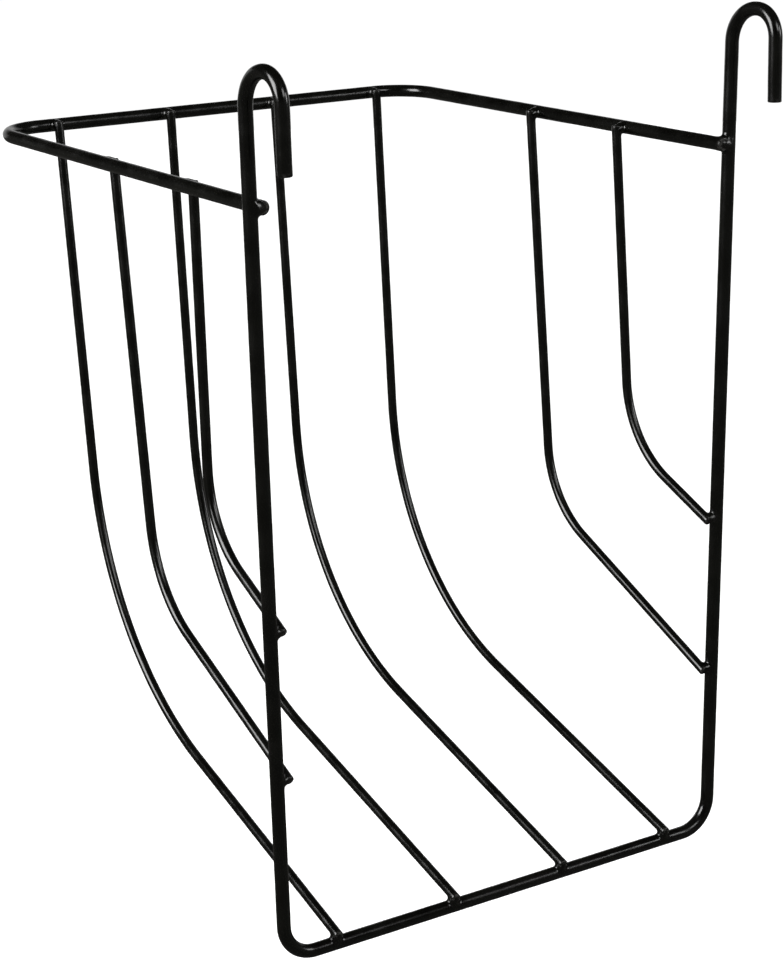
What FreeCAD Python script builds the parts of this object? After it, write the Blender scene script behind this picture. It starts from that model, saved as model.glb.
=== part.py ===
import FreeCAD, Part
import math
import os

V = FreeCAD.Vector

# Hay rack feeder: a welded wire basket that hangs on a fence rail by two hooks. Millimetres.
# +Z is up, +Y points from the fence into the basket, +X is to the right seen from the fence.
# The origin is midway between the two hooks, on the top of the rail that they hang on.
# Heights below are above the bottom rail's centre line, and depths are from the legs' plane.

# Rod stock, coating included
ROD = 5.5                       # heavy rod: hanger frame and top rim
BAR = 4.0                       # light rod: front bars and side bars
WELD_GAP = 0.1                  # weld metal left between a bar and the rod that it crosses
BAR_OFFSET = (ROD + BAR) / 2 + WELD_GAP
CUT_ROUND = 0.5                 # rounding of the coated edge of a cut end

# Hanger frame
RAIL_WIDTH = 210.6              # leg to leg at the bottom rail
LEG_SPREAD = {"left": 4.6, "right": 5.5}    # outward lean of the legs by the height of the rim
LEG_LEAN = {"left": -0.3, "right": 0.3}     # their lean away from the fence by that height
CORNER_RADIUS = 13.7            # bend of the two bottom corners
HOOK_LEG_RADIUS = 14.1          # bend of the arch on the leg's side
HOOK_TIP_RADIUS = 10.5          # tighter bend of the arch on the tip's side
HOOK_DEPTH = HOOK_LEG_RADIUS + HOOK_TIP_RADIUS
HOOK_TOP = {"left": 341.2, "right": 345.4}
HOOK_DROP = 34.8                # arch top to the end of the tip
HOOK_SPLAY = {"left": 0.0, "right": 2.0}     # degrees that the tip stands open from the leg
SADDLE_HEIGHT = (HOOK_TOP["left"] + HOOK_TOP["right"] - ROD) / 2

# Top rim
RIM_HEIGHT = 291.8              # at the legs
RIM_FRONT_RISE = {"left": 0.2, "right": -1.6}
RIM_DEPTH = {"left": 218.5, "right": 219.5}
RIM_HALF_WIDTH = {"left": 104.9, "right": 105.9}     # at the front
RIM_CORNER_RADIUS = {"left": 21.5, "right": 19.5}
RIM_SET_DOWN = 1.1              # how deep the welded rim ends sink into the legs
RIM_PAST_LEG = {"left": 1.8, "right": 2.4}

# Front bars: x at the rim, x at the bottom rail, knee depth, knee height, knee radius
FRONT_BARS = [
    (-76.1, -82.6, 183.2, 66.4, 129.8),
    (-22.0, -27.0, 195.5, 64.7, 125.3),
    (31.1, 26.7, 195.0, 65.6, 120.2),
    (85.4, 80.7, 197.6, 65.9, 119.9),
]
FRONT_TOP_REACH = 1.4           # how far the bar tops run past the rim's centre line
FRONT_FOOT_REACH = 1.6          # how far the bar feet run past the bottom rail's centre line

# Side bars: depth at the rim, knee depth, knee height, knee radius, height of the foot
SIDE_BARS = {
    ("left", "front"): (119.2, 98.0, 121.3, 50.3, 73.7),
    ("left", "rear"): (56.7, 51.1, 158.8, 41.6, 132.9),
    ("right", "front"): (118.1, 104.2, 120.3, 43.2, 71.6),
    ("right", "rear"): (59.3, 50.8, 159.2, 43.3, 137.0),
}
SIDE_TOP_REACH = 1.2            # how far the side bar tops run past the rim's centre line
SIDE_FOOT_REACH = 1.2           # how far the side bar feet run past the legs' centre lines

# Weld nuggets, flat lenses around the points where two rods touch: radius and half thickness
BAR_WELD = (3.0, 1.8)
RIM_WELD = (4.4, 2.5)

SIGN = {"left": -1, "right": 1}
SAME_POINT = 1e-3               # points this close count as one


def at(x, depth, height):
    """The point at this depth from the legs and height above the bottom rail."""
    return V(x, depth + HOOK_DEPTH / 2, height - SADDLE_HEIGHT)


def unit(vector):
    """The vector's direction."""
    return V(vector).normalize()


def between(start, end, share):
    """The point this share of the way from start to end."""
    return start + (end - start) * share


def bent_path(points, radii):
    """Straight runs through the points, joined at each inner point by a tangent arc."""
    edges = []
    start = points[0]
    for before, corner, after, radius in zip(points, points[1:], points[2:], radii):
        back, onward = unit(before - corner), unit(after - corner)
        half_turn = (math.pi - back.getAngle(onward)) / 2
        reach = radius * math.tan(half_turn)
        inset = radius / math.cos(half_turn) - radius
        first, last = corner + back * reach, corner + onward * reach
        if (first - start).Length > SAME_POINT:
            edges.append(Part.LineSegment(start, first).toShape())
        edges.append(Part.Arc(first, corner + unit(back + onward) * inset, last).toShape())
        start = last
    edges.append(Part.LineSegment(start, points[-1]).toShape())
    return Part.Wire(edges)


def bent_rod(points, radii, diameter):
    """A round rod swept along the bent path, with the edges of its two cut ends rounded."""
    path = bent_path(points, radii)
    circle = Part.Circle(points[0], unit(points[1] - points[0]), diameter / 2).toShape()
    rod = path.makePipe(Part.Face(Part.Wire(circle)))
    ends = [edge for edge in rod.Edges
            if edge.Curve.TypeId == "Part::GeomCircle" and edge.isClosed()
            and min((edge.Curve.Center - points[0]).Length, (edge.Curve.Center - points[-1]).Length) < SAME_POINT]
    return rod.makeFillet(CUT_ROUND, ends)


def leg_point(side, height):
    """A point on a leg's centre line."""
    share = height / RIM_HEIGHT
    return at(SIGN[side] * (RAIL_WIDTH / 2 + LEG_SPREAD[side] * share), LEG_LEAN[side] * share, height)


def hanger_frame():
    """Hook, leg, bottom rail, leg and hook, bent from one heavy rod."""
    halves = {}
    for side in SIGN:
        foot, top = leg_point(side, 0), leg_point(side, HOOK_TOP[side])
        over = top - V(0, HOOK_DEPTH, 0)
        splay = math.radians(HOOK_SPLAY[side])
        tip = over - (unit(top - foot) * math.cos(splay) + V(0, math.sin(splay), 0)) * HOOK_DROP
        halves[side] = [foot, top, over, tip]
    points = halves["left"][::-1] + halves["right"]
    bends = [HOOK_TIP_RADIUS, HOOK_LEG_RADIUS, CORNER_RADIUS]
    return bent_rod(points, bends + bends[::-1], ROD)


def rim_end(side):
    """Where a rim end's centre line passes its leg."""
    return leg_point(side, RIM_HEIGHT) - V(SIGN[side] * (ROD - RIM_SET_DOWN), 0, 0)


def rim_corner(side):
    """A front corner of the rim's centre line, before it is rounded."""
    return at(SIGN[side] * RIM_HALF_WIDTH[side], RIM_DEPTH[side], RIM_HEIGHT + RIM_FRONT_RISE[side])


def top_rim(frame):
    """The heavy U of the rim, its ends pressed a little into the legs."""
    points = [rim_corner("left"), rim_corner("right")]
    for side, place in (("left", 0), ("right", len(points) + 1)):
        past = unit(rim_end(side) - rim_corner(side)) * RIM_PAST_LEG[side]
        points.insert(place, rim_end(side) + past)
    return bent_rod(points, [RIM_CORNER_RADIUS["left"], RIM_CORNER_RADIUS["right"]], ROD).cut(frame)


def touch(centre, knee, side):
    """The point nearest to centre, on the side given, of a line from the knee that clears it
    by the bar offset. Both points have the same x."""
    away = knee - centre
    lift = math.acos(BAR_OFFSET / away.Length)
    across = V(1, 0, 0).cross(unit(away)) * side
    return centre + (unit(away) * math.cos(lift) + across * math.sin(lift)) * BAR_OFFSET


def front_bar(x_rim, x_rail, knee_depth, knee_height):
    """The path points of a front bar, and its crossing with the rim and with the rail."""
    along = (x_rim + RIM_HALF_WIDTH["left"]) / sum(RIM_HALF_WIDTH.values())
    rim = between(rim_corner("left"), rim_corner("right"), along)
    rail = at(x_rail, 0, 0)
    knee = at(x_rim, knee_depth, knee_height)
    top = touch(rim, knee, -1)
    upper, lower = (top - knee).Length, (knee - rail).Length
    knee.x = x_rim + (x_rail - x_rim) * upper / (upper + lower)
    foot = touch(rail, V(x_rail, knee.y, knee.z), 1)
    return reach_past([top, knee, foot], FRONT_TOP_REACH, FRONT_FOOT_REACH), (rim, top), (rail, foot)


def side_bar(side, top_depth, knee_depth, knee_height, foot_height):
    """The path points of a side bar, and its crossing with the rim and with the leg."""
    rim = between(rim_end(side), rim_corner(side), top_depth / RIM_DEPTH[side])
    leg = leg_point(side, foot_height)
    inwards = V(-SIGN[side] * BAR_OFFSET, 0, 0)
    top, foot = rim + inwards, leg + inwards
    knee = at(0, knee_depth, knee_height)
    upper, lower = math.hypot(top.y - knee.y, top.z - knee.z), math.hypot(foot.y - knee.y, foot.z - knee.z)
    knee.x = top.x + (foot.x - top.x) * upper / (upper + lower)
    return reach_past([top, knee, foot], SIDE_TOP_REACH, SIDE_FOOT_REACH), (rim, top), (leg, foot)


def reach_past(points, top_reach, foot_reach):
    """Lengthens a bar's path past its two crossings."""
    top, knee, foot = points
    return [top + unit(top - knee) * top_reach, knee, foot + unit(foot - knee) * foot_reach]


def weld(crossing, rods, second_diameter, radius, half_thickness):
    """A lens of weld metal where a second rod crosses a heavy rod, cut back to both surfaces."""
    on_rod, on_second = crossing
    normal = unit(on_second - on_rod)
    middle = between(on_rod, on_second, ROD / (ROD + second_diameter))
    ball = (radius ** 2 + half_thickness ** 2) / (2 * half_thickness)
    shift = normal * (ball - half_thickness)
    lens = Part.makeSphere(ball, middle - shift).common(Part.makeSphere(ball, middle + shift))
    return lens.cut(Part.makeCompound(rods))


def build():
    """Every piece of the rack, by its node's name."""
    frame = hanger_frame()
    rim = top_rim(frame)
    nodes = {"hanger_frame": frame, "top_rim": rim}
    for number, (*place, knee_radius) in enumerate(FRONT_BARS, 1):
        points, at_rim, at_rail = front_bar(*place)
        bar = bent_rod(points, [knee_radius], BAR)
        nodes[f"front_bar_{number}"] = bar
        nodes[f"weld_front_bar_{number}_top"] = weld(at_rim, [rim, bar], BAR, *BAR_WELD)
        nodes[f"weld_front_bar_{number}_foot"] = weld(at_rail, [frame, bar], BAR, *BAR_WELD)
    for (side, place), (top_depth, knee_depth, knee_height, knee_radius, foot_height) in SIDE_BARS.items():
        points, at_rim, at_leg = side_bar(side, top_depth, knee_depth, knee_height, foot_height)
        bar = bent_rod(points, [knee_radius], BAR)
        nodes[f"{side}_side_bar_{place}"] = bar
        nodes[f"weld_{side}_side_bar_{place}_top"] = weld(at_rim, [rim, bar], BAR, *BAR_WELD)
        nodes[f"weld_{side}_side_bar_{place}_foot"] = weld(at_leg, [frame, bar], BAR, *BAR_WELD)
    for side in SIGN:
        crossing = (leg_point(side, RIM_HEIGHT), rim_end(side))
        nodes[f"weld_rim_to_{side}_leg"] = weld(crossing, [frame, rim], ROD, *RIM_WELD)
    return nodes


os.makedirs("parts", exist_ok=True)
for name, shape in build().items():
    solids = shape.Solids
    print(f"{name}: {len(solids)} solid, valid {shape.isValid()}, {shape.Volume:.1f} mm3")
    solids[0].exportStep(f"parts/{name}.step")
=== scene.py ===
import logging
import math
from dataclasses import dataclass, field
from enum import Enum
from typing import Any, Dict, List, Optional, Sequence, Tuple

import bpy
from mathutils import Matrix, Vector


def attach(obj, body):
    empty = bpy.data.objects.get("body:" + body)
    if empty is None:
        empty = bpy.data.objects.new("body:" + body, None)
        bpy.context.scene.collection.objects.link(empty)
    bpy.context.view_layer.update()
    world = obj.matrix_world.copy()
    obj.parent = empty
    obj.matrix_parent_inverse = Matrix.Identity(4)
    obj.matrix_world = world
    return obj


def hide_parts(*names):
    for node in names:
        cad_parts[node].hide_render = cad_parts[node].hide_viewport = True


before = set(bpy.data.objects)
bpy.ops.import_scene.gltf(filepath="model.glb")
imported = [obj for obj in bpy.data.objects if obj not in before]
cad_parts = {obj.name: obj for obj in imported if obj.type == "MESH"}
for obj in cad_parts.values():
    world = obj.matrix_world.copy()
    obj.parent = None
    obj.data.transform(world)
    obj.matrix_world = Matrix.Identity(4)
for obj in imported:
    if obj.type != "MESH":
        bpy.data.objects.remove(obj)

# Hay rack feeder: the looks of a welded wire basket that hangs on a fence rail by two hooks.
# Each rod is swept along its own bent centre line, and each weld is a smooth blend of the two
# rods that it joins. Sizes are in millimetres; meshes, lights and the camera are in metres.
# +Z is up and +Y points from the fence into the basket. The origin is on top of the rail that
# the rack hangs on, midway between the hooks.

LOG = logging.getLogger("hay_rack")
MM = 0.001
MEAN_NOISE = 0.5
BODY = "root"
Point = Tuple[float, float, float]
Colour = Tuple[float, float, float]


class Side(Enum):
    """The rack's two sides, as the fence sees them; the value is the sign of X."""

    LEFT = -1
    RIGHT = 1

    @property
    def label(self) -> str:
        """The side's name as the nodes spell it."""
        return self.name.lower()


class Stock(Enum):
    """The two rod stocks, by their diameter over the coating."""

    HEAVY = 5.5
    LIGHT = 4.0

    @property
    def radius(self) -> float:
        """Half the diameter."""
        return self.value / 2

    @property
    def sides(self) -> int:
        """How many flats round its mesh."""
        return 32 if self is Stock.HEAVY else 28


class Graph:
    """Adds nodes to one tree and links them."""

    def __init__(self, tree: bpy.types.NodeTree) -> None:
        """Wraps a geometry or shader tree.

        Args:
            tree: The tree to fill.
        """
        self.tree = tree

    @classmethod
    def group(
        cls, name: str, kind: str, inputs: Dict[str, str], outputs: Dict[str, str]
    ) -> Tuple["Graph", Any, Any]:
        """Starts a node group with named sockets.

        Args:
            name: The group's name.
            kind: Geometry or Shader.
            inputs: Each input's name and socket kind, such as Float.
            outputs: Each output's name and socket kind.

        Returns:
            The graph, the group's incoming sockets and its outgoing sockets.
        """
        tree = bpy.data.node_groups.new(name, kind + "NodeTree")
        for direction, sockets in (("INPUT", inputs), ("OUTPUT", outputs)):
            for label, socket in sockets.items():
                tree.interface.new_socket(name=label, in_out=direction, socket_type="NodeSocket" + socket)
        graph = cls(tree)
        return graph, graph.add("NodeGroupInput").outputs, graph.add("NodeGroupOutput").inputs

    def add(self, kind: str, inputs: Optional[Dict[Any, Any]] = None, **settings: Any) -> bpy.types.Node:
        """Adds one node.

        Args:
            kind: The node's type.
            inputs: Socket name or number, and the number or output that feeds it.
            settings: The node's own properties.

        Returns:
            The node.
        """
        node = self.tree.nodes.new(kind)
        for name, value in settings.items():
            setattr(node, name, value)
        for key, value in (inputs or {}).items():
            self.feed(node.inputs[key], value)
        return node

    def feed(self, socket: bpy.types.NodeSocket, value: Any) -> None:
        """Links an output to a socket, or sets the socket's own value.

        Args:
            socket: The socket to feed.
            value: A number, a colour, a vector, a name or another node's output.
        """
        if isinstance(value, bpy.types.NodeSocket):
            self.tree.links.new(value, socket)
        else:
            socket.default_value = value

    def math(self, operation: str, *values: Any, clamp: bool = False) -> bpy.types.NodeSocket:
        """The result of a math node.

        Args:
            operation: The operation's name.
            values: Its operands, in order.
            clamp: Whether the result stays between 0 and 1.

        Returns:
            The result's socket.
        """
        node = self.add("ShaderNodeMath", operation=operation, use_clamp=clamp)
        for socket, value in zip(node.inputs, values):
            self.feed(socket, value)
        return node.outputs[0]

    def vector(self, operation: str, *values: Any, out: str = "Vector", scale: Any = None) -> bpy.types.NodeSocket:
        """The result of a vector math node.

        Args:
            operation: The operation's name.
            values: Its vector operands, in order.
            out: The output wanted, Vector or Value.
            scale: The factor, for the operation SCALE.

        Returns:
            The result's socket.
        """
        node = self.add("ShaderNodeVectorMath", operation=operation)
        for socket, value in zip(node.inputs, values):
            self.feed(socket, value)
        if scale is not None:
            self.feed(node.inputs["Scale"], scale)
        return node.outputs[out]

    def ease(self, value: Any, low: Any, high: Any, start: Any = 0.0, end: Any = 1.0) -> bpy.types.NodeSocket:
        """A smooth step.

        Args:
            value: What is measured.
            low: Where the step begins.
            high: Where the step ends.
            start: The result below low.
            end: The result above high.

        Returns:
            The result's socket.
        """
        sockets = {"Value": value, "From Min": low, "From Max": high, "To Min": start, "To Max": end}
        return self.add("ShaderNodeMapRange", sockets, interpolation_type="SMOOTHSTEP").outputs[0]

    def noise(self, place: Any, scale: Any, seed: Any, detail: float = 2.0) -> bpy.types.NodeSocket:
        """Smooth random values about 0.5.

        Args:
            place: The point where it is read.
            scale: Features per unit of length.
            seed: Picks the pattern.
            detail: Octaves of finer features.

        Returns:
            The value's socket.
        """
        sockets = {"Vector": place, "W": seed, "Scale": scale, "Detail": detail}
        return self.add("ShaderNodeTexNoise", sockets, noise_dimensions="4D").outputs[0]


class ShapeTool:
    """A geometry node tree with named inputs that turns a few points into one finished mesh."""

    NAME: str
    INPUTS: Dict[str, str]

    def __init__(self) -> None:
        """Builds the tree: the tool's own shape, smoothed, made real and given its finish."""
        self.graph, self.given, result = Graph.group(self.NAME, "Geometry", self.INPUTS, {"Piece": "Geometry"})
        smooth = self.graph.add("GeometryNodeSetShadeSmooth", {"Geometry": self._shape()})
        whole = self.graph.add("GeometryNodeRealizeInstances", {"Geometry": smooth.outputs[0]})
        sockets = {"Geometry": whole.outputs[0], "Material": self.given["Finish"]}
        self.graph.feed(result["Piece"], self.graph.add("GeometryNodeSetMaterial", sockets).outputs[0])

    def _shape(self) -> bpy.types.NodeSocket:
        """The piece's bare mesh, which each tool makes in its own way."""
        raise NotImplementedError

    def run(self, name: str, mesh: bpy.types.Mesh, **values: Any) -> bpy.types.Object:
        """Makes one piece.

        Args:
            name: The piece's name.
            mesh: What the tree starts from.
            values: The tree's inputs by name, with _ for a space.

        Returns:
            The piece, a plain mesh at the origin, linked to the scene.
        """
        carrier = bpy.data.objects.new(name + " carrier", mesh)
        bpy.context.scene.collection.objects.link(carrier)
        modifier = carrier.modifiers.new(self.NAME, "NODES")
        modifier.node_group = self.graph.tree
        for item in self.graph.tree.interface.items_tree:
            key = item.name.replace(" ", "_").lower()
            if item.in_out == "INPUT" and key in values:
                modifier[item.identifier] = values.pop(key)
        if values:
            raise ValueError(f"{self.NAME} has no input for {sorted(values)}")
        evaluated = carrier.evaluated_get(bpy.context.evaluated_depsgraph_get())
        result = bpy.data.meshes.new_from_object(evaluated)
        carrier.modifiers.remove(modifier)
        bpy.data.objects.remove(carrier)
        bpy.data.meshes.remove(mesh)
        result.name = name
        piece = bpy.data.objects.new(name, result)
        bpy.context.scene.collection.objects.link(piece)
        return piece


class RodBender(ShapeTool):
    """Rounds the corners of a centre line and sweeps a coated round rod along it.

    The cut ends are rounded as the coating rounds them. The surface sinks here and there by a few
    hundredths of a millimetre, as a dipped coat does. The attribute cut_edge is 1 at a cut end.
    """

    NAME = "Bent rod"
    INPUTS = {
        "Centre Line": "Geometry",
        "Radius": "Float",
        "Cut Round": "Float",
        "Spacing": "Float",
        "Sides": "Int",
        "Sag Depth": "Float",
        "Sag Length": "Float",
        "Thin Length": "Float",
        "Seed": "Float",
        "Finish": "Material",
    }
    ARC_POINTS = 48
    END_STEPS = 6
    SAG_LIMITS = (0.3, 0.7)

    def _shape(self) -> bpy.types.NodeSocket:
        """The bare rod."""
        return self._sag(self._sweep(self._place_stations(self._round_corners())))

    def _round_corners(self) -> bpy.types.NodeSocket:
        """Turns each corner of the centre line into an arc of its own bend radius.

        Returns:
            The rounded centre line.
        """
        graph = self.graph
        curve = graph.add("GeometryNodeMeshToCurve", {"Mesh": self.given["Centre Line"]})
        bend = graph.add("GeometryNodeInputNamedAttribute", {"Name": "bend"}, data_type="FLOAT")
        fillet = graph.add("GeometryNodeFilletCurve", {"Curve": curve.outputs[0]}, mode="POLY")
        graph.feed(fillet.inputs["Radius"], bend.outputs[0])
        fillet.inputs["Count"].default_value = self.ARC_POINTS
        fillet.inputs["Limit Radius"].default_value = True
        return fillet.outputs[0]

    def _place_stations(self, line: Any) -> bpy.types.NodeSocket:
        """Sets stations along the line, crowded at its two ends to round the cuts.

        Args:
            line: The rounded centre line.

        Returns:
            A curve through the stations, with each one's rod radius in the attribute size.
        """
        graph, given = self.graph, self.given
        length = graph.add("GeometryNodeCurveLength", {"Curve": line}).outputs[0]
        inner = graph.math("MAXIMUM", graph.math("CEIL", graph.math("DIVIDE", length, given["Spacing"])), 2.0)
        count = graph.math("ADD", inner, 2.0 * self.END_STEPS + 1.0)
        mesh = graph.add("GeometryNodeMeshLine", {"Count": count}).outputs[0]
        index = graph.add("GeometryNodeInputIndex").outputs[0]
        last = graph.math("SUBTRACT", count, 1.0)
        to_end = graph.math("MINIMUM", index, graph.math("SUBTRACT", last, index))
        near_end = graph.math("MINIMUM", graph.math("DIVIDE", to_end, float(self.END_STEPS)), 1.0)
        turn = graph.math("MULTIPLY", near_end, math.pi / 2)
        inset = graph.math("MULTIPLY", given["Cut Round"], graph.math("SUBTRACT", 1.0, graph.math("COSINE", turn)))
        share = graph.math("DIVIDE", graph.math("SUBTRACT", index, float(self.END_STEPS)), inner, clamp=True)
        run = graph.math("SUBTRACT", length, graph.math("MULTIPLY", inset, 2.0))
        reached = graph.math("ADD", inset, graph.math("MULTIPLY", share, run))
        less = graph.math("MULTIPLY", given["Cut Round"], graph.math("SUBTRACT", 1.0, graph.math("SINE", turn)))
        size = graph.math("SUBTRACT", given["Radius"], less)
        sample = graph.add("GeometryNodeSampleCurve", {"Curves": line, "Length": reached}, mode="LENGTH")
        placed = graph.add("GeometryNodeSetPosition", {"Geometry": mesh, "Position": sample.outputs["Position"]})
        from_end = graph.math("MINIMUM", reached, graph.math("SUBTRACT", length, reached))
        edge = graph.ease(from_end, 0.0, given["Thin Length"], 1.0, 0.0)
        marked = placed.outputs[0]
        for name, value in (("size", size), ("cut_edge", edge)):
            sockets = {"Geometry": marked, "Name": name, "Value": value}
            marked = graph.add("GeometryNodeStoreNamedAttribute", sockets).outputs[0]
        return graph.add("GeometryNodeMeshToCurve", {"Mesh": marked}).outputs[0]

    def _sweep(self, stations: Any) -> bpy.types.NodeSocket:
        """Sweeps a circle through the stations and closes its ends.

        Args:
            stations: The curve through the stations.

        Returns:
            The rod's skin.
        """
        graph = self.graph
        circle = graph.add("GeometryNodeCurvePrimitiveCircle", {"Resolution": self.given["Sides"]}, mode="RADIUS")
        graph.feed(circle.inputs["Radius"], 1.0)
        size = graph.add("GeometryNodeInputNamedAttribute", {"Name": "size"}, data_type="FLOAT")
        swept = graph.add("GeometryNodeCurveToMesh", {"Curve": stations, "Profile Curve": circle.outputs[0]})
        graph.feed(swept.inputs["Scale"], size.outputs[0])
        graph.feed(swept.inputs["Fill Caps"], True)
        return swept.outputs[0]

    def _sag(self, skin: Any) -> bpy.types.NodeSocket:
        """Sinks the skin by a little, unevenly, and never raises it.

        Args:
            skin: The rod's skin.

        Returns:
            The uneven skin.
        """
        graph, given = self.graph, self.given
        place = graph.add("GeometryNodeInputPosition").outputs[0]
        outwards = graph.add("GeometryNodeInputNormal").outputs[0]
        swell = graph.noise(place, graph.math("DIVIDE", 1.0, given["Sag Length"]), given["Seed"], 1.0)
        depth = graph.math("MULTIPLY", graph.ease(swell, *self.SAG_LIMITS), given["Sag Depth"])
        offset = graph.vector("SCALE", outwards, scale=graph.math("MULTIPLY", depth, -1.0))
        return graph.add("GeometryNodeSetPosition", {"Geometry": skin, "Offset": offset}).outputs[0]


class WeldBlender(ShapeTool):
    """Melts a bar into the heavy rod that it lies on, as a resistance weld under a coating does.

    The weld is the smooth union of the heavy rod, the bar and the metal pressed out between them.
    Away from the crossing it dips under both rods' surfaces. The tree works in millimetres from
    the weld's centre and scales its result to metres.
    """

    NAME = "Blended weld"
    INPUTS = {
        "Geometry": "Geometry",
        "Centre": "Vector",
        "Rod Point": "Vector",
        "Rod Direction": "Vector",
        "Rod Radius": "Float",
        "Bar End": "Vector",
        "Bar Run": "Vector",
        "Bar Radius": "Float",
        "Nugget Radius": "Float",
        "Fillet": "Float",
        "Reach": "Float",
        "Lump Height": "Float",
        "Voxels": "Int",
        "Seed": "Float",
        "Finish": "Material",
    }
    SINK = 0.03
    DIP = 0.3
    DIP_BEGINS = 0.6
    MARGIN = 0.6
    SURFACE = 0.5
    LUMPS_PER_MM = 0.35

    def _shape(self) -> bpy.types.NodeSocket:
        """Fills a cube of voxels with the weld's depth and takes the weld's skin out of it.

        Returns:
            The bare weld.
        """
        graph, given = self.graph, self.given
        half = graph.math("ADD", given["Reach"], self.MARGIN)
        low = graph.add("ShaderNodeCombineXYZ", {i: graph.math("MULTIPLY", half, -1.0) for i in range(3)}).outputs[0]
        high = graph.add("ShaderNodeCombineXYZ", {i: half for i in range(3)}).outputs[0]
        cells = {f"Resolution {axis}": given["Voxels"] for axis in "XYZ"}
        volume = graph.add("GeometryNodeVolumeCube", {"Density": self._depth(), "Min": low, "Max": high, **cells})
        sockets = {"Volume": volume.outputs[0], "Threshold": self.SURFACE}
        mesh = graph.add("GeometryNodeVolumeToMesh", sockets, resolution_mode="GRID")
        sockets = {"Geometry": mesh.outputs[0], "Translation": given["Centre"], "Scale": (MM, MM, MM)}
        return graph.add("GeometryNodeTransform", sockets).outputs[0]

    def _depth(self) -> bpy.types.NodeSocket:
        """How deep each point lies in the weld: SURFACE at its skin, and more inside.

        Returns:
            The depth's socket.
        """
        graph, given = self.graph, self.given
        place = graph.add("GeometryNodeInputPosition").outputs[0]
        rod = self._to_line(place, given["Rod Point"], given["Rod Direction"], given["Rod Radius"], False)
        run = graph.vector("SUBTRACT", given["Bar Run"], given["Bar End"])
        bar = self._to_line(place, given["Bar End"], run, given["Bar Radius"], True)
        away = graph.vector("LENGTH", place, out="Value")
        lump = graph.math("SUBTRACT", graph.noise(place, self.LUMPS_PER_MM, given["Seed"], 1.0), MEAN_NOISE)
        lump = graph.math("MULTIPLY", lump, given["Lump Height"])
        nugget = graph.math("SUBTRACT", graph.math("SUBTRACT", away, given["Nugget Radius"]), lump)
        joined = graph.math("SMOOTH_MIN", rod, bar, given["Fillet"])
        joined = graph.math("SMOOTH_MIN", joined, nugget, given["Fillet"])
        begins = graph.math("MULTIPLY", given["Reach"], self.DIP_BEGINS)
        dip = graph.ease(away, begins, given["Reach"], self.SINK, self.DIP)
        sunk = graph.math("ADD", joined, dip)
        kept = graph.math("MAXIMUM", sunk, graph.math("SUBTRACT", away, given["Reach"]))
        return graph.math("SUBTRACT", self.SURFACE, kept)

    def _to_line(self, place: Any, start: Any, run: Any, radius: Any, ends: bool) -> bpy.types.NodeSocket:
        """The distance from a point to a round rod's surface.

        Args:
            place: The point.
            start: A point on the rod's centre line.
            run: The line's direction, or its whole run where it ends.
            radius: The rod's radius.
            ends: Whether the rod stops at both ends of its run.

        Returns:
            The distance's socket.
        """
        graph = self.graph
        off = graph.vector("SUBTRACT", place, start)
        along = graph.math(
            "DIVIDE",
            graph.vector("DOT_PRODUCT", off, run, out="Value"),
            graph.vector("DOT_PRODUCT", run, run, out="Value"),
            clamp=ends,
        )
        foot = graph.vector("SCALE", run, scale=along)
        return graph.math("SUBTRACT", graph.vector("DISTANCE", off, foot, out="Value"), radius)


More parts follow.
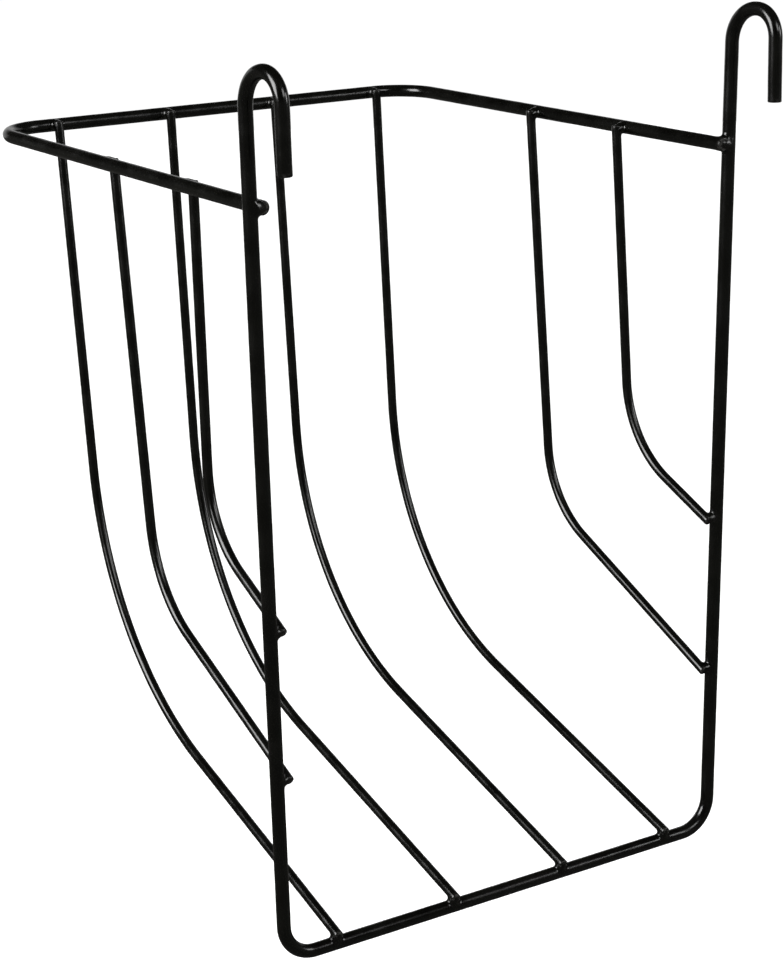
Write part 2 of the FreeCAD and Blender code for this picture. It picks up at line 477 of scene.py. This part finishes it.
class CoatingEffects:
    """The shader groups that every coated piece shares.

    A pair of limits says where in the noise a mark begins and where it is full.
    """

    RIPPLE_SHARE, FLOW_SHARE, NIB_SHARE = 0.6, 0.4, 0.5
    FLOW_LIMITS, NIB_LIMITS = (0.3, 0.7), (0.74, 0.8)
    FLOW_SEED, NIB_SEED = 7.3, 2.1
    NIBS_PER_RIPPLE = 2.4
    PATCH_LIMITS, GRAIN_LIMITS, FACING_LIMITS = (0.38, 0.72), (0.35, 0.7), (0.1, 1.0)
    GRAINS_PER_PATCH = 30.0
    GRAIN_SHARE, FILM_SHARE = 0.7, 0.3
    CHIPS_PER_METRE = 900.0
    CHIP_LIMITS = (0.4, 0.62)

    def __init__(self) -> None:
        """Builds the groups once."""
        self.peel = self._orange_peel()
        self.dust = self._settled_dust()
        self.thin = self._thin_edge()

    def _orange_peel(self) -> bpy.types.NodeTree:
        """The fine ripple of a cured coating and the uneven gloss that comes with it.

        Returns:
            The group.
        """
        graph, given, result = Graph.group(
            "Orange peel",
            "Shader",
            {"Ripple Scale": "Float", "Flow Scale": "Float", "Seed": "Float"},
            {"Height": "Float", "Gloss": "Float"},
        )
        place = graph.add("ShaderNodeTexCoord").outputs["Object"]
        ripple = graph.noise(place, given["Ripple Scale"], given["Seed"], 1.0)
        flow = graph.noise(place, given["Flow Scale"], graph.math("ADD", given["Seed"], self.FLOW_SEED), 3.0)
        fine = graph.math("MULTIPLY", given["Ripple Scale"], self.NIBS_PER_RIPPLE)
        speck = graph.noise(place, fine, graph.math("ADD", given["Seed"], self.NIB_SEED), 0.0)
        nib = graph.ease(speck, *self.NIB_LIMITS)
        height = graph.math("MULTIPLY", ripple, self.RIPPLE_SHARE)
        for wave, share in ((flow, self.FLOW_SHARE), (nib, self.NIB_SHARE)):
            height = graph.math("ADD", height, graph.math("MULTIPLY", wave, share))
        graph.feed(result["Height"], height)
        graph.feed(result["Gloss"], graph.ease(flow, *self.FLOW_LIMITS))
        return graph.tree

    def _settled_dust(self) -> bpy.types.NodeTree:
        """A film of hay dust that lies on what faces up, in patches.

        Returns:
            The group.
        """
        graph, given, result = Graph.group(
            "Settled dust",
            "Shader",
            {"Amount": "Float", "Patch Scale": "Float", "Seed": "Float"},
            {"Mask": "Float"},
        )
        place = graph.add("ShaderNodeTexCoord").outputs["Object"]
        normal = graph.add("ShaderNodeNewGeometry").outputs["Normal"]
        facing = graph.add("ShaderNodeSeparateXYZ", {0: normal}).outputs[2]
        patch = graph.ease(graph.noise(place, given["Patch Scale"], given["Seed"], 4.0), *self.PATCH_LIMITS)
        fine = graph.math("MULTIPLY", given["Patch Scale"], self.GRAINS_PER_PATCH)
        grain = graph.ease(graph.noise(place, fine, given["Seed"], 2.0), *self.GRAIN_LIMITS)
        film = graph.math("ADD", graph.math("MULTIPLY", grain, self.GRAIN_SHARE), self.FILM_SHARE)
        mask = graph.math("MULTIPLY", graph.math("MULTIPLY", patch, film), graph.ease(facing, *self.FACING_LIMITS))
        graph.feed(result["Mask"], graph.math("MULTIPLY", mask, given["Amount"], clamp=True))
        return graph.tree

    def _thin_edge(self) -> bpy.types.NodeTree:
        """Where the coating pulls back from the sharp edge of a cut end.

        Returns:
            The group.
        """
        graph, given, result = Graph.group(
            "Thin edge", "Shader", {"Amount": "Float", "Seed": "Float"}, {"Mask": "Float"}
        )
        place = graph.add("ShaderNodeTexCoord").outputs["Object"]
        edge = graph.add("ShaderNodeAttribute", attribute_name="cut_edge").outputs["Fac"]
        ragged = graph.ease(graph.noise(place, self.CHIPS_PER_METRE, given["Seed"], 3.0), *self.CHIP_LIMITS)
        worn = graph.math("MULTIPLY", edge, ragged)
        graph.feed(result["Mask"], graph.math("MULTIPLY", worn, given["Amount"], clamp=True))
        return graph.tree


@dataclass(frozen=True)
class BlackCoating:
    """Gloss black coating over steel rod, as it cures on one kind of piece."""

    name: str
    slot: str
    seed: float
    colour: Colour = (0.0004, 0.0004, 0.0002)
    flow_colour: Colour = (0.0010, 0.0010, 0.0006)
    dust_colour: Colour = (0.035, 0.032, 0.024)
    primer_colour: Colour = (0.028, 0.027, 0.025)
    gloss: float = 0.16
    dull: float = 0.24
    ripple_scale: float = 650.0
    flow_scale: float = 90.0
    ripple_depth: float = 0.25
    ripple_height: float = 0.02
    dust: float = 0.03
    dust_patch_scale: float = 45.0
    dust_dulls: float = 0.3
    thin_edge: float = 0.5
    thin_edge_dulls: float = 0.2

    def material(self, effects: CoatingEffects) -> bpy.types.Material:
        """Mixes the finish.

        Args:
            effects: The shared shader groups.

        Returns:
            The material.
        """
        material = bpy.data.materials.new(self.name)
        material.use_nodes = True
        material.diffuse_color = (*self.colour, 1.0)
        material.node_tree.nodes.clear()
        graph = Graph(material.node_tree)
        peel = self._place(graph, effects.peel, {"Ripple Scale": self.ripple_scale, "Flow Scale": self.flow_scale})
        dust = self._place(graph, effects.dust, {"Amount": self.dust, "Patch Scale": self.dust_patch_scale})
        thin = self._place(graph, effects.thin, {"Amount": self.thin_edge})
        colour = self._mix(graph, peel["Gloss"], self.colour, self.flow_colour)
        colour = self._mix(graph, thin["Mask"], colour, self.primer_colour)
        colour = self._mix(graph, dust["Mask"], colour, self.dust_colour)
        rough = graph.ease(peel["Gloss"], 0.0, 1.0, self.gloss, self.dull)
        for mask, share in ((dust["Mask"], self.dust_dulls), (thin["Mask"], self.thin_edge_dulls)):
            rough = graph.math("ADD", rough, graph.math("MULTIPLY", mask, share))
        sockets = {"Strength": self.ripple_depth, "Distance": self.ripple_height * MM, "Height": peel["Height"]}
        bump = graph.add("ShaderNodeBump", sockets)
        shader = graph.add(
            "ShaderNodeBsdfPrincipled",
            {"Base Color": colour, "Roughness": rough, "Normal": bump.outputs[0], "IOR": 1.5},
        )
        out = graph.add("ShaderNodeOutputMaterial")
        graph.feed(out.inputs["Surface"], shader.outputs[0])
        return material

    def _place(self, graph: Graph, effect: bpy.types.NodeTree, values: Dict[str, float]) -> Any:
        """Puts a shared group in the material.

        Args:
            graph: The material's tree.
            effect: The group.
            values: The group's inputs, apart from the seed.

        Returns:
            The group's outputs.
        """
        node = graph.add("ShaderNodeGroup", node_tree=effect)
        for name, value in {**values, "Seed": self.seed}.items():
            node.inputs[name].default_value = value
        return node.outputs

    @staticmethod
    def _mix(graph: Graph, mask: Any, under: Any, over: Any) -> bpy.types.NodeSocket:
        """Lays one colour over another.

        Args:
            graph: The material's tree.
            mask: How much of the upper colour shows.
            under: The lower colour, or its socket.
            over: The upper colour.

        Returns:
            The mixed colour's socket.
        """
        node = graph.add("ShaderNodeMix", data_type="RGBA")
        sockets = {s.identifier: s for s in node.inputs}
        graph.feed(sockets["Factor_Float"], mask)
        for key, colour in (("A_Color", under), ("B_Color", over)):
            graph.feed(sockets[key], colour if isinstance(colour, bpy.types.NodeSocket) else (*colour, 1.0))
        return next(s for s in node.outputs if s.identifier == "Result_Color")


@dataclass
class Workshop:
    """The tools, finishes and mesh sizes that the sub-assemblies are made with."""

    bender: RodBender = field(default_factory=RodBender)
    blender: WeldBlender = field(default_factory=WeldBlender)
    effects: CoatingEffects = field(default_factory=CoatingEffects)
    finishes: Dict[str, bpy.types.Material] = field(default_factory=dict)
    cut_round: float = 0.5
    spacing: float = 1.25
    sag_depth: float = 0.035
    sag_length: float = 7.0
    thin_length: float = 1.2
    weld_voxels: int = 56
    rod_seeds: int = 97
    weld_seeds: int = 89

    def __post_init__(self) -> None:
        """Mixes the three finishes."""
        for finish in (
            BlackCoating("Black coating on heavy rod", "coated_rod", 11.0),
            BlackCoating("Black coating on light rod", "coated_bar", 23.0, flow_scale=120.0),
            BlackCoating("Black coating on welds", "coated_weld", 37.0, gloss=0.14, dull=0.26, ripple_depth=0.35),
        ):
            self.finishes[finish.slot] = finish.material(self.effects)

    def rod(self, node: str, points: Sequence[Vector], bends: Sequence[float], stock: Stock) -> bpy.types.Object:
        """Bends and coats one rod in place of its CAD node.

        Args:
            node: The CAD node's name.
            points: The corners of the centre line, ends included.
            bends: The bend radius at each inner corner.
            stock: The rod stock.

        Returns:
            The rod.
        """
        slot = "coated_rod" if stock is Stock.HEAVY else "coated_bar"
        mesh = bpy.data.meshes.new(node + " centre line")
        mesh.from_pydata([p * MM for p in points], [(i, i + 1) for i in range(len(points) - 1)], [])
        mesh.attributes.new("bend", "FLOAT", "POINT").data.foreach_set("value", [b * MM for b in (0.0, *bends, 0.0)])
        piece = self.bender.run(
            node + "_coated",
            mesh,
            radius=stock.radius * MM,
            cut_round=self.cut_round * MM,
            spacing=self.spacing * MM,
            sides=stock.sides,
            sag_depth=self.sag_depth * MM,
            sag_length=self.sag_length * MM,
            thin_length=self.thin_length * MM,
            seed=float(sum(map(ord, node)) % self.rod_seeds),
            finish=self.finishes[slot],
        )
        return self._hand_over(piece, node, slot)

    def weld(self, node: str, crossing: "Crossing") -> bpy.types.Object:
        """Blends and coats one weld in place of its CAD node.

        Args:
            node: The CAD node's name.
            crossing: The two rods and the point where they are welded.

        Returns:
            The weld.
        """
        slot = "coated_weld"
        centre = crossing.centre
        piece = self.blender.run(
            node + "_coated",
            bpy.data.meshes.new(node + " start"),
            centre=centre * MM,
            rod_point=crossing.on_rod - centre,
            rod_direction=crossing.rod_direction,
            rod_radius=Stock.HEAVY.radius,
            bar_end=crossing.bar_end - centre,
            bar_run=crossing.bar_run - centre,
            bar_radius=crossing.stock.radius,
            nugget_radius=crossing.nugget_radius,
            fillet=crossing.fillet,
            reach=crossing.reach,
            lump_height=crossing.lump,
            voxels=self.weld_voxels,
            seed=float(sum(map(ord, node)) % self.weld_seeds),
            finish=self.finishes[slot],
        )
        return self._hand_over(piece, node, slot)

    @staticmethod
    def _hand_over(piece: bpy.types.Object, node: str, slot: str) -> bpy.types.Object:
        """Puts a finished piece on the frame.

        Args:
            piece: The finished piece.
            node: The CAD node that it stands for.
            slot: The material slot that it takes its finish from; not used here.

        Returns:
            The piece.
        """
        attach(piece, BODY)
        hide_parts(node)
        return piece


@dataclass
class Crossing:
    """Where a bar or a rim end lies on a heavy rod and is welded to it."""

    on_rod: Vector
    rod_direction: Vector
    on_bar: Vector
    bar_direction: Vector
    past: float
    stock: Stock
    fillet: float = 2.2
    reach: float = 5.4
    nugget_radius: float = 2.1
    lump: float = 0.5
    cover: float = 0.12
    run: float = 20.0

    @property
    def centre(self) -> Vector:
        """The point between the two rods, in proportion to their sizes, where the metal is pressed out."""
        share = Stock.HEAVY.value / (Stock.HEAVY.value + self.stock.value)
        return self.on_rod.lerp(self.on_bar, share)

    @property
    def bar_end(self) -> Vector:
        """The centre of the bar's rounded end, which just covers its cut."""
        return self.on_bar - self.bar_direction * (self.past - self.stock.radius + self.cover)

    @property
    def bar_run(self) -> Vector:
        """A point on the bar well clear of the weld."""
        return self.on_bar + self.bar_direction * self.run


@dataclass(frozen=True)
class RackShape:
    """The lines that the sub-assemblies share. A pair is the left value and then the right."""

    rail_width: float = 210.6
    leg_spread: Tuple[float, float] = (4.6, 5.5)
    leg_lean: Tuple[float, float] = (-0.3, 0.3)
    hook_depth: float = 24.6
    saddle_height: float = 340.55
    rim_height: float = 291.8
    rim_front_rise: Tuple[float, float] = (0.2, -1.6)
    rim_depth: Tuple[float, float] = (218.5, 219.5)
    rim_half_width: Tuple[float, float] = (104.9, 105.9)
    rim_set_down: float = 1.1
    bar_offset: float = 4.85

    @staticmethod
    def of(pair: Tuple[float, float], side: Side) -> float:
        """The left or the right value of a pair."""
        return pair[0] if side is Side.LEFT else pair[1]

    def at(self, x: float, depth: float, height: float) -> Vector:
        """A point by its place across, its depth from the legs and its height above the bottom rail."""
        return Vector((x, depth + self.hook_depth / 2, height - self.saddle_height))

    def leg_point(self, side: Side, height: float) -> Vector:
        """A point on a leg's centre line.

        Args:
            side: Which leg.
            height: Above the bottom rail.

        Returns:
            The point.
        """
        share = height / self.rim_height
        x = side.value * (self.rail_width / 2 + self.of(self.leg_spread, side) * share)
        return self.at(x, self.of(self.leg_lean, side) * share, height)

    def rim_end(self, side: Side) -> Vector:
        """Where a rim end's centre line passes its leg."""
        inwards = -side.value * (Stock.HEAVY.value - self.rim_set_down)
        return self.leg_point(side, self.rim_height) + Vector((inwards, 0.0, 0.0))

    def rim_corner(self, side: Side) -> Vector:
        """A front corner of the rim before it is rounded."""
        x = side.value * self.of(self.rim_half_width, side)
        return self.at(x, self.of(self.rim_depth, side), self.rim_height + self.of(self.rim_front_rise, side))


@dataclass
class HangerFrame:
    """Hook, leg, bottom rail, leg and hook, bent from one heavy rod."""

    shape: RackShape
    corner_radius: float = 13.7
    hook_leg_radius: float = 14.1
    hook_tip_radius: float = 10.5
    hook_top: Tuple[float, float] = (341.2, 345.4)
    hook_drop: float = 34.8
    hook_splay: Tuple[float, float] = (0.0, 2.0)

    def build(self, shop: Workshop) -> List[bpy.types.Object]:
        """Makes the frame.

        Args:
            shop: The tools and finishes.

        Returns:
            The one piece.
        """
        left, right = (self._half(side) for side in Side)
        bends = [self.hook_tip_radius, self.hook_leg_radius, self.corner_radius]
        return [shop.rod("hanger_frame", left[::-1] + right, bends + bends[::-1], Stock.HEAVY)]

    def _half(self, side: Side) -> List[Vector]:
        """One side's centre line, from the bottom corner to the hook's tip.

        Args:
            side: Which side.

        Returns:
            The corners of the line.
        """
        foot = self.shape.leg_point(side, 0.0)
        top = self.shape.leg_point(side, self.shape.of(self.hook_top, side))
        over = top - Vector((0.0, self.shape.hook_depth, 0.0))
        splay = math.radians(self.shape.of(self.hook_splay, side))
        rise = (top - foot).normalized() * math.cos(splay) + Vector((0.0, math.sin(splay), 0.0))
        return [foot, top, over, over - rise * self.hook_drop]


@dataclass
class TopRim:
    """The heavy U of the rim, and the welds that hold its ends to the legs."""

    shape: RackShape
    corner_radius: Tuple[float, float] = (21.5, 19.5)
    past_leg: Tuple[float, float] = (1.8, 2.4)

    def build(self, shop: Workshop) -> List[bpy.types.Object]:
        """Makes the rim and its two welds.

        Args:
            shop: The tools and finishes.

        Returns:
            The three pieces.
        """
        corners = {side: self.shape.rim_corner(side) for side in Side}
        away = {side: (corners[side] - self.shape.rim_end(side)).normalized() for side in Side}
        ends = {side: self.shape.rim_end(side) - away[side] * self.shape.of(self.past_leg, side) for side in Side}
        points = [ends[Side.LEFT], corners[Side.LEFT], corners[Side.RIGHT], ends[Side.RIGHT]]
        pieces = [shop.rod("top_rim", points, list(self.corner_radius), Stock.HEAVY)]
        for side in Side:
            on_leg = self.shape.leg_point(side, self.shape.rim_height)
            crossing = Crossing(
                on_rod=on_leg,
                rod_direction=(on_leg - self.shape.leg_point(side, 0.0)).normalized(),
                on_bar=self.shape.rim_end(side),
                bar_direction=away[side],
                past=self.shape.of(self.past_leg, side),
                stock=Stock.HEAVY,
                reach=6.6,
                nugget_radius=3.0,
                lump=0.9,
            )
            pieces.append(shop.weld(f"weld_rim_to_{side.label}_leg", crossing))
        return pieces


@dataclass(frozen=True)
class BentBar:
    """A light rod with one knee, welded at its top and its foot."""

    name: str
    top: Vector
    knee: Vector
    foot: Vector
    bend: float
    rim: Vector
    rim_direction: Vector
    rod: Vector
    rod_direction: Vector
    top_past: float
    foot_past: float

    def build(self, shop: Workshop) -> List[bpy.types.Object]:
        """Makes the bar and its two welds.

        Args:
            shop: The tools and finishes.

        Returns:
            The three pieces.
        """
        down, up = (self.knee - self.top).normalized(), (self.knee - self.foot).normalized()
        points = [self.top - down * self.top_past, self.knee, self.foot - up * self.foot_past]
        pieces = [shop.rod(self.name, points, [self.bend], Stock.LIGHT)]
        ends = (
            ("top", self.rim, self.rim_direction, self.top, down, self.top_past),
            ("foot", self.rod, self.rod_direction, self.foot, up, self.foot_past),
        )
        for place, on_rod, rod_direction, on_bar, bar_direction, past in ends:
            crossing = Crossing(on_rod, rod_direction, on_bar, bar_direction, past, Stock.LIGHT)
            pieces.append(shop.weld(f"weld_{self.name}_{place}", crossing))
        return pieces


@dataclass
class FrontBars:
    """The four bars from the front of the rim down to the bottom rail."""

    shape: RackShape
    sizes: Sequence[Tuple[float, float, float, float, float]] = (
        (-76.1, -82.6, 183.2, 66.4, 129.8),
        (-22.0, -27.0, 195.5, 64.7, 125.3),
        (31.1, 26.7, 195.0, 65.6, 120.2),
        (85.4, 80.7, 197.6, 65.9, 119.9),
    )
    top_past: float = 1.4
    foot_past: float = 1.6

    def build(self, shop: Workshop) -> List[bpy.types.Object]:
        """Makes the four bars and their welds.

        Args:
            shop: The tools and finishes.

        Returns:
            The twelve pieces.
        """
        bars = [self._bar(number, *sizes) for number, sizes in enumerate(self.sizes, 1)]
        return [piece for bar in bars for piece in bar.build(shop)]

    def _bar(self, number: int, x_rim: float, x_rail: float, depth: float, height: float, bend: float) -> BentBar:
        """Lays out one bar.

        Args:
            number: Its number from the left.
            x_rim: Its place across at the rim.
            x_rail: Its place across at the bottom rail.
            depth: The depth of its knee.
            height: The height of its knee.
            bend: The radius of its knee.

        Returns:
            The bar.
        """
        left, right = (self.shape.rim_corner(side) for side in Side)
        rim = left.lerp(right, (x_rim - left.x) / (right.x - left.x))
        rail = self.shape.at(x_rail, 0.0, 0.0)
        knee = self.shape.at(x_rim, depth, height)
        top = self._touch(rim, knee, -1)
        upper, lower = (top - knee).length, (knee - rail).length
        foot = self._touch(rail, Vector((x_rail, knee.y, knee.z)), 1)
        knee.x = x_rim + (x_rail - x_rim) * upper / (upper + lower)
        return BentBar(
            name=f"front_bar_{number}",
            top=top,
            knee=knee,
            foot=foot,
            bend=bend,
            rim=rim,
            rim_direction=(right - left).normalized(),
            rod=rail,
            rod_direction=Vector((1.0, 0.0, 0.0)),
            top_past=self.top_past,
            foot_past=self.foot_past,
        )

    def _touch(self, centre: Vector, knee: Vector, side: int) -> Vector:
        """Where a bar from the knee lies on a rod that runs across.

        Args:
            centre: The rod's centre.
            knee: The bar's knee, at the same place across.
            side: Which side of the rod the bar lies on.

        Returns:
            The point of the bar's centre line that is nearest to the rod's.
        """
        away = knee - centre
        lift = math.acos(self.shape.bar_offset / away.length)
        across = Vector((1.0, 0.0, 0.0)).cross(away.normalized()) * side
        return centre + (away.normalized() * math.cos(lift) + across * math.sin(lift)) * self.shape.bar_offset


@dataclass
class SideBars:
    """The two bars on each side, from the rim down to the leg."""

    shape: RackShape
    sizes: Dict[Tuple[Side, str], Tuple[float, float, float, float, float]] = field(
        default_factory=lambda: {
            (Side.LEFT, "front"): (119.2, 98.0, 121.3, 50.3, 73.7),
            (Side.LEFT, "rear"): (56.7, 51.1, 158.8, 41.6, 132.9),
            (Side.RIGHT, "front"): (118.1, 104.2, 120.3, 43.2, 71.6),
            (Side.RIGHT, "rear"): (59.3, 50.8, 159.2, 43.3, 137.0),
        }
    )
    top_past: float = 1.2
    foot_past: float = 1.2

    def build(self, shop: Workshop) -> List[bpy.types.Object]:
        """Makes the four bars and their welds.

        Args:
            shop: The tools and finishes.

        Returns:
            The twelve pieces.
        """
        bars = [self._bar(side, place, *sizes) for (side, place), sizes in self.sizes.items()]
        return [piece for bar in bars for piece in bar.build(shop)]

    def _bar(
        self, side: Side, place: str, top_depth: float, depth: float, height: float, bend: float, foot_height: float
    ) -> BentBar:
        """Lays out one bar.

        Args:
            side: The rack's side.
            place: Front or rear.
            top_depth: The depth where it leaves the rim.
            depth: The depth of its knee.
            height: The height of its knee.
            bend: The radius of its knee.
            foot_height: The height where it meets the leg.

        Returns:
            The bar.
        """
        start, end = self.shape.rim_end(side), self.shape.rim_corner(side)
        rim = start.lerp(end, top_depth / self.shape.of(self.shape.rim_depth, side))
        leg = self.shape.leg_point(side, foot_height)
        inwards = Vector((-side.value * self.shape.bar_offset, 0.0, 0.0))
        top, foot = rim + inwards, leg + inwards
        knee = self.shape.at(0.0, depth, height)
        upper, lower = ((knee - p).yz.length for p in (top, foot))
        knee.x = top.x + (foot.x - top.x) * upper / (upper + lower)
        return BentBar(
            name=f"{side.label}_side_bar_{place}",
            top=top,
            knee=knee,
            foot=foot,
            bend=bend,
            rim=rim,
            rim_direction=(end - start).normalized(),
            rod=leg,
            rod_direction=(leg - self.shape.leg_point(side, 0.0)).normalized(),
            top_past=self.top_past,
            foot_past=self.foot_past,
        )


@dataclass(frozen=True)
class SoftLight:
    """A soft panel light, placed by its direction from the rack as the camera sees it."""

    name: str
    turn: float
    rise: float
    distance: float
    width: float
    height: float
    power: float


@dataclass
class Studio:
    """A plain white floor, soft light, and the camera."""

    floor_height: float = -0.50
    floor_size: float = 24.0
    floor_shades: Tuple[float, float] = (0.90, 0.92)
    aim: Point = (-0.05216, 0.0123, -0.15841)
    turn: float = 33.546
    tilt: float = 16.646
    roll: float = -1.064
    distance: float = 0.96716
    lens: float = 96.912
    sky: float = 1.10
    ceiling_in_gloss: float = 0.012
    floor_in_gloss: float = 0.08
    gloss_tint: Colour = (1.0, 1.0, 0.92)
    horizon: Tuple[float, float] = (-0.1, 0.3)
    lights: Sequence[SoftLight] = (
        SoftLight("Left softbox", -66.0, 26.0, 1.6, 0.95, 1.00, 35.0),
        SoftLight("Right softbox", 50.0, 34.0, 1.6, 0.72, 0.55, 5.5),
        SoftLight("Right strip light", 85.0, 17.0, 1.6, 0.34, 0.50, 4.2),
        SoftLight("Backdrop glow", 180.0, 4.0, 3.0, 8.0, 1.6, 22.0),
    )

    def build(self) -> None:
        """Sets up the floor, the sky, the lights and the camera."""
        self._floor()
        self._sky()
        for light in self.lights:
            self._light(light)
        self._camera()

    def _floor(self) -> None:
        """Lays the floor, which the rods don't mirror."""
        half = self.floor_size / 2
        mesh = bpy.data.meshes.new("Studio floor")
        corners = [(x * half, y * half, self.floor_height) for x, y in ((-1, -1), (1, -1), (1, 1), (-1, 1))]
        mesh.from_pydata(corners, [], [(0, 1, 2, 3)])
        floor = bpy.data.objects.new("Studio floor", mesh)
        bpy.context.scene.collection.objects.link(floor)
        material = bpy.data.materials.new("Studio floor paint")
        material.use_nodes = True
        graph = Graph(material.node_tree)
        shader = material.node_tree.nodes["Principled BSDF"]
        place = graph.add("ShaderNodeTexCoord").outputs["Object"]
        shade = graph.ease(graph.noise(place, 0.8, 5.0, 3.0), 0.2, 0.8, *self.floor_shades)
        pale = graph.add("ShaderNodeCombineColor", {i: shade for i in range(3)})
        graph.feed(shader.inputs["Base Color"], pale.outputs[0])
        shader.inputs["Roughness"].default_value = 1.0
        shader.inputs["Specular IOR Level"].default_value = 0.0
        mesh.materials.append(material)
        floor.visible_glossy = False

    def _sky(self) -> None:
        """Lights the floor evenly, and shows the rods' gloss a pale floor under a dim ceiling."""
        world = bpy.data.worlds.new("Studio sky")
        world.use_nodes = True
        world.node_tree.nodes.clear()
        graph = Graph(world.node_tree)
        glossy = graph.add("ShaderNodeLightPath").outputs["Is Glossy Ray"]
        place = graph.add("ShaderNodeTexCoord").outputs["Generated"]
        height = graph.add("ShaderNodeSeparateXYZ", {0: place}).outputs[2]
        gloss = graph.ease(height, *self.horizon, self.floor_in_gloss, self.ceiling_in_gloss)
        bright = graph.add("ShaderNodeBackground", {"Color": (1.0, 1.0, 1.0, 1.0), "Strength": self.sky})
        dim = graph.add("ShaderNodeBackground", {"Color": (*self.gloss_tint, 1.0), "Strength": gloss})
        mixed = graph.add("ShaderNodeMixShader", {0: glossy, 1: bright.outputs[0], 2: dim.outputs[0]})
        out = graph.add("ShaderNodeOutputWorld")
        graph.feed(out.inputs["Surface"], mixed.outputs[0])
        bpy.context.scene.world = world
        bpy.context.scene.view_settings.view_transform = "Standard"

    @staticmethod
    def _axes(turn: float, tilt: float) -> Tuple[Vector, Vector, Vector]:
        """The directions of a view.

        Args:
            turn: Degrees about the upright axis.
            tilt: Degrees that the view looks down.

        Returns:
            Forwards, to the right, and up.
        """
        a, e = math.radians(turn), math.radians(tilt)
        forwards = Vector((math.sin(a) * math.cos(e), math.cos(a) * math.cos(e), -math.sin(e)))
        right = forwards.cross(Vector((0.0, 0.0, 1.0))).normalized()
        return forwards, right, right.cross(forwards)

    def _light(self, light: SoftLight) -> None:
        """Hangs one panel light, turned to the rack and hidden from the camera.

        Args:
            light: The light's place and size.
        """
        data = bpy.data.lights.new(light.name, "AREA")
        data.shape, data.size, data.size_y, data.energy = "RECTANGLE", light.width, light.height, light.power
        lamp = bpy.data.objects.new(light.name, data)
        bpy.context.scene.collection.objects.link(lamp)
        forwards, right, up = self._axes(self.turn - light.turn, light.rise)
        lamp.matrix_world = self._pose(Vector(self.aim) - forwards * light.distance, forwards, right, up)
        lamp.visible_camera = False

    def _camera(self) -> None:
        """Sets the camera where it sees the rack from the front left."""
        forwards, right, up = self._axes(self.turn, self.tilt)
        roll = math.radians(self.roll)
        rolled = right * math.cos(roll) + up * math.sin(roll)
        upright = up * math.cos(roll) - right * math.sin(roll)
        data = bpy.data.cameras.new("Camera")
        data.lens, data.sensor_width, data.clip_start, data.clip_end = self.lens, 36.0, 0.01, 100.0
        camera = bpy.data.objects.new("Camera", data)
        bpy.context.scene.collection.objects.link(camera)
        camera.matrix_world = self._pose(Vector(self.aim) - forwards * self.distance, forwards, rolled, upright)
        bpy.context.scene.camera = camera

    @staticmethod
    def _pose(place: Vector, forwards: Vector, right: Vector, up: Vector) -> Matrix:
        """A camera's or light's matrix from its place and directions."""
        return Matrix.Translation(place) @ Matrix((right, up, -forwards)).transposed().to_4x4()


def main() -> None:
    """Builds the rack and the studio around it."""
    logging.basicConfig(level=logging.INFO, format="%(name)s: %(message)s")
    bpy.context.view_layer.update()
    shop = Workshop()
    shape = RackShape()
    for group in (HangerFrame(shape), TopRim(shape), FrontBars(shape), SideBars(shape)):
        for piece in group.build(shop):
            LOG.info("%s: %s, %d faces", type(group).__name__, piece.name, len(piece.data.polygons))
    Studio().build()


if __name__ == "__main__":
    main()
